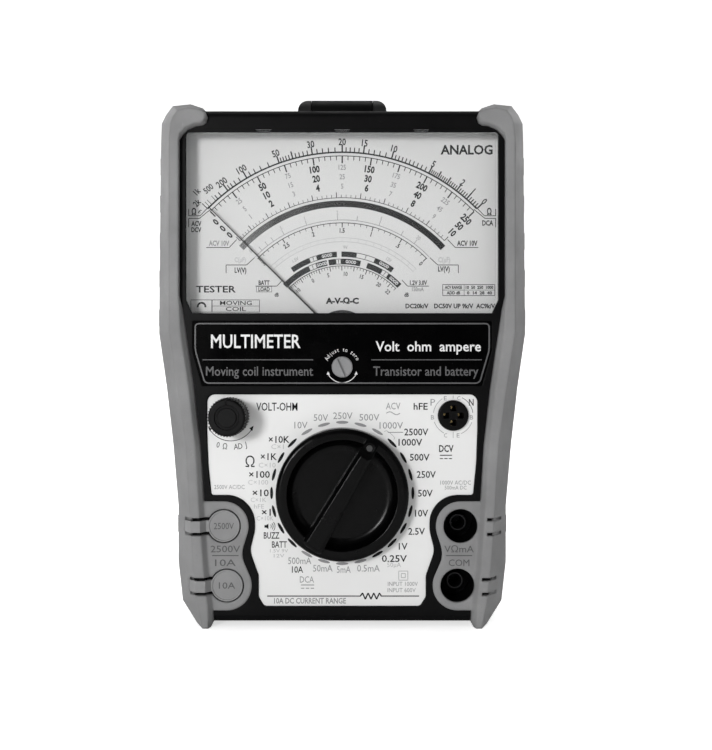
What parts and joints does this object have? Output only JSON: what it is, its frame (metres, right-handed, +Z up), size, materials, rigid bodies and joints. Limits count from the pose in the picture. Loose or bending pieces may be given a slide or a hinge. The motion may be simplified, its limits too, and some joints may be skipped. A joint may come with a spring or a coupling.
{
  "type": "analog multimeter",
  "caption": "Handheld analog multimeter: moving-coil dial behind a window, rotary range selector, ohm adjuster, transistor socket, capped banana jacks and rubber side grips.",
  "frame": {"origin": "middle of the footprint, level with the soles of the two rubber feet", "axes": "+X to the meter's right seen from the front, +Z up along the case, front facing -Y"},
  "size_m": [0.1196, 0.0516, 0.1762],
  "materials": {
    "case_black": "fine matt texture",
    "rubber_grey": "soft matt overmoulding",
    "lens_clear": "clear polished",
    "dial_white": "satin white print",
    "name_black": "gloss black film",
    "panel_white": "satin white film",
    "knob_black": "semi-gloss moulding",
    "dot_grey": "painted mark",
    "screw_grey": "moulded nylon",
    "socket_black": "moulding",
    "brass": "plain",
    "nickel": "nickel plated",
    "steel": "zinc plated",
    "iron": "sintered",
    "aluminium": "drawn",
    "copper": "enamelled copper wire",
    "pointer_black": "matt black",
    "board_green": "solder mask",
    "ceramic": "resistor coating",
    "fuse_glass": "tube",
    "base_black": "phenolic moulding",
    "buzzer_black": "moulding",
    "battery": "printed jacket"
  },
  "bodies": {
    "housing": {"front_case": "case_black", "rear_case": "case_black", "right_grip": "rubber_grey", "left_grip": "rubber_grey", "window_lens": "lens_clear", "dial_plate": "dial_white", "name_plate": "name_black", "control_panel": "panel_white", "potentiometer": "base_black", "transistor_socket": "socket_black", "socket_contacts": "brass", "core_magnet": "iron", "yoke_ring": "iron", "core_spacers": "brass", "movement_base": "base_black", "front_bridge": "base_black", "rear_bridge": "brass", "jewel_screws": "brass", "hairsprings": "brass", "jack_sleeve_right_top": "nickel", "jack_sleeve_right_low": "nickel", "jack_sleeve_left_top": "nickel", "jack_sleeve_left_low": "nickel", "circuit_board": "board_green", "selector_tracks": "brass", "fuse_tube": "fuse_glass", "fuse_ends": "nickel", "fuse_clips": "brass", "buzzer": "buzzer_black", "resistors": "ceramic", "shunt_wire": "copper", "battery_9v": "battery", "battery_cells": "battery", "battery_contacts": "nickel", "case_screws": "steel", "movement_screws": "steel", "dial_screws": "brass", "hinge_pin": "steel"},
    "moving_coil": {"coil_frame": "aluminium", "coil_winding": "copper", "pivot_staffs": "steel", "pointer": "pointer_black", "balance_arms": "aluminium"},
    "selector": {"selector_knob": "knob_black", "knob_dot": "dot_grey", "selector_rotor": "base_black", "wipers": "brass", "detent_balls": "steel", "detent_springs": "steel"},
    "ohm_adjuster": {"ohm_knob": "knob_black"},
    "zero_adjuster": {"zero_screw": "screw_grey"},
    "zero_fork": {"zero_lever": "brass"},
    "upper_cap": {"cap_2500v": "rubber_grey"},
    "lower_cap": {"cap_10a": "rubber_grey"},
    "stand": {"tilt_stand": "case_black"},
    "cover": {"battery_cover": "case_black", "cover_screw": "steel"}
  },
  "joints": [
    {"name": "pointer_swing", "type": "hinge", "parent": "housing", "child": "moving_coil", "pos_m": [0, 0.00375, 0.0916], "axis": [0, 1, 0], "range_deg": [0, 90]},
    {"name": "selector_turn", "type": "hinge", "parent": "housing", "child": "selector", "pos_m": [0, -0.01325, 0.0427], "axis": [0, 1, 0], "continuous": true},
    {"name": "ohm_turn", "type": "hinge", "parent": "housing", "child": "ohm_adjuster", "pos_m": [-0.0357, -0.01325, 0.0673], "axis": [0, 1, 0], "range_deg": [-150, 150]},
    {"name": "zero_turn", "type": "hinge", "parent": "housing", "child": "zero_adjuster", "pos_m": [0, -0.01325, 0.083], "axis": [0, 1, 0], "range_deg": [-45, 45]},
    {"name": "zero_fork_swing", "type": "hinge", "parent": "housing", "child": "zero_fork", "pos_m": [0, -0.01025, 0.0916], "axis": [0, 1, 0], "range_deg": [-5.4, 5.4]},
    {"name": "upper_cap_flap", "type": "hinge", "parent": "housing", "child": "upper_cap", "pos_m": [-0.04966, -0.01256, 0.0322], "axis": [0, 0, -1], "range_deg": [0, 110]},
    {"name": "lower_cap_flap", "type": "hinge", "parent": "housing", "child": "lower_cap", "pos_m": [-0.04806, -0.01304, 0.0132], "axis": [0, 0, -1], "range_deg": [0, 110]},
    {"name": "stand_fold", "type": "hinge", "parent": "housing", "child": "stand", "pos_m": [0, 0.02015, 0.1712], "axis": [1, 0, 0], "range_deg": [0, 180]},
    {"name": "cover_off", "type": "slide", "parent": "housing", "child": "cover", "axis": [0, 1, 0], "range_m": [0, 0.03]}
  ],
  "couplings": [
    {"joint": "zero_turn", "follows": "zero_fork_swing", "ratio": -8.197}
  ]
}
